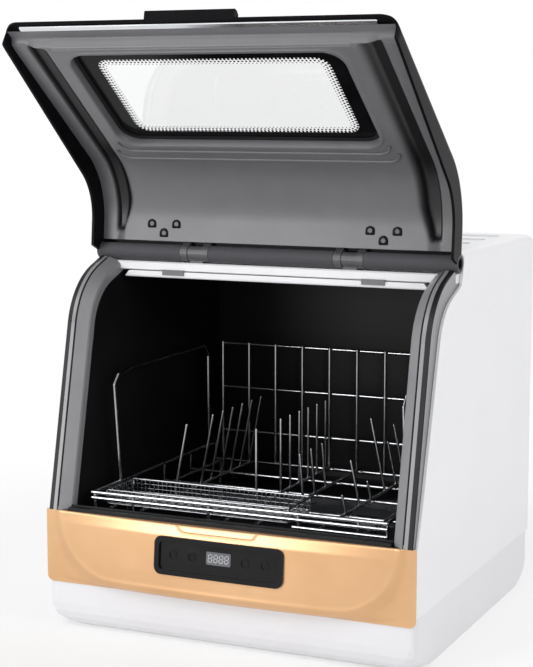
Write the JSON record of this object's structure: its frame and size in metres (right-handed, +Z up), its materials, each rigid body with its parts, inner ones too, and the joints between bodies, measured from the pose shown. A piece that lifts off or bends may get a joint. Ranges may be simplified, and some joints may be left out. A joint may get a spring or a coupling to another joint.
{
  "type": "countertop dishwasher",
  "caption": "Countertop dishwasher with a curved flip-up windowed lid, gold front panel with touch controls, wire dish rack and cutlery basket.",
  "frame": {"origin": "on the underside of the base, under the middle of the cabinet's width and depth", "axes": "+Z up, +X to the right seen from the front, +Y towards the rear; the gold front panel faces -Y"},
  "size_m": [0.42, 0.489, 0.6499],
  "materials": {
    "casing_white": "satin",
    "rear_grey": "satin",
    "base_white": "satin",
    "pad_rubber": "matte",
    "panel_gold": "satin",
    "bezel_black": "satin",
    "fascia_grey": "gloss",
    "key_silver": "satin",
    "display_grey": "gloss",
    "board_green": "matte",
    "tub_grey": "satin",
    "frame_grey": "satin",
    "trim_black": "matte",
    "white_plastic": "satin",
    "hinge_steel": "satin",
    "lid_black": "satin",
    "liner_grey": "satin",
    "window_clear": "gloss",
    "border_black": "gloss",
    "lip_chrome": "polished",
    "rack_wire": "polished",
    "basket_grey": "satin",
    "wash_grey": "satin",
    "filter_grey": "satin"
  },
  "bodies": {
    "cabinet": {"outer_casing": "casing_white", "rear_panel": "rear_grey", "base_tray": "base_white", "feet": "pad_rubber", "front_panel": "panel_gold", "control_bezel": "bezel_black", "control_glass": "fascia_grey", "touch_keys": "key_silver", "display_window": "display_grey", "display_board": "board_green", "control_board": "board_green", "tub": "tub_grey", "tub_sides": "tub_grey", "frame_side_left": "frame_grey", "frame_side_right": "frame_grey", "frame_trim": "trim_black", "frame_header": "white_plastic", "frame_sill": "trim_black", "door_seal": "pad_rubber", "light_bar": "white_plastic", "light_clips": "trim_black", "hinge_brackets": "hinge_steel", "reed_switch": "trim_black", "spray_hub": "wash_grey", "filter_plate": "hinge_steel", "sump": "wash_grey", "wash_pump": "wash_grey", "drain_pump": "wash_grey", "heater": "hinge_steel", "inlet_valve": "white_plastic", "float_switch": "white_plastic", "drying_fan": "wash_grey", "water_inlet": "white_plastic", "drain_spigot": "wash_grey", "power_gland": "wash_grey", "panel_screws": "hinge_steel"},
    "lid": {"lid_shell": "lid_black", "lid_liner": "liner_grey", "window_glass": "window_clear", "window_border": "border_black", "window_gasket": "pad_rubber", "lid_handle": "lid_black", "lip_trim": "lip_chrome", "hinge_leaves": "hinge_steel", "hinge_pins": "hinge_steel", "lid_screws": "hinge_steel", "lid_end_caps": "trim_black", "lid_magnet": "trim_black"},
    "rack": {"rack_base": "rack_wire", "rack_back": "rack_wire", "rack_left": "rack_wire", "rack_right": "rack_wire", "rack_front": "rack_wire", "tine_row_left": "rack_wire", "tine_row_middle": "rack_wire", "tine_row_short": "rack_wire", "tine_row_right": "rack_wire"},
    "basket": {"cutlery_basket": "basket_grey"},
    "arm": {"spray_arm": "wash_grey"},
    "filter": {"filter_cup": "filter_grey"}
  },
  "joints": [
    {"name": "lid_hinge", "type": "hinge", "parent": "cabinet", "child": "lid", "pos_m": [0, -0.074, 0.40004], "axis": [1, 0, 0], "range_deg": [0, 115]},
    {"name": "rack_lift", "type": "slide", "parent": "cabinet", "child": "rack", "axis": [0, 0, 1], "range_m": [0, 0.07]},
    {"name": "basket_lift", "type": "slide", "parent": "rack", "child": "basket", "axis": [0, 0, 1], "range_m": [0, 0.04]},
    {"name": "spray_arm_spin", "type": "hinge", "parent": "cabinet", "child": "arm", "pos_m": [0, 0, 0.11], "axis": [0, 0, 1], "continuous": true},
    {"name": "filter_twist", "type": "hinge", "parent": "cabinet", "child": "filter", "pos_m": [0.092, 0.052, 0.09], "axis": [0, 0, 1], "range_deg": [0, 60]}
  ]
}
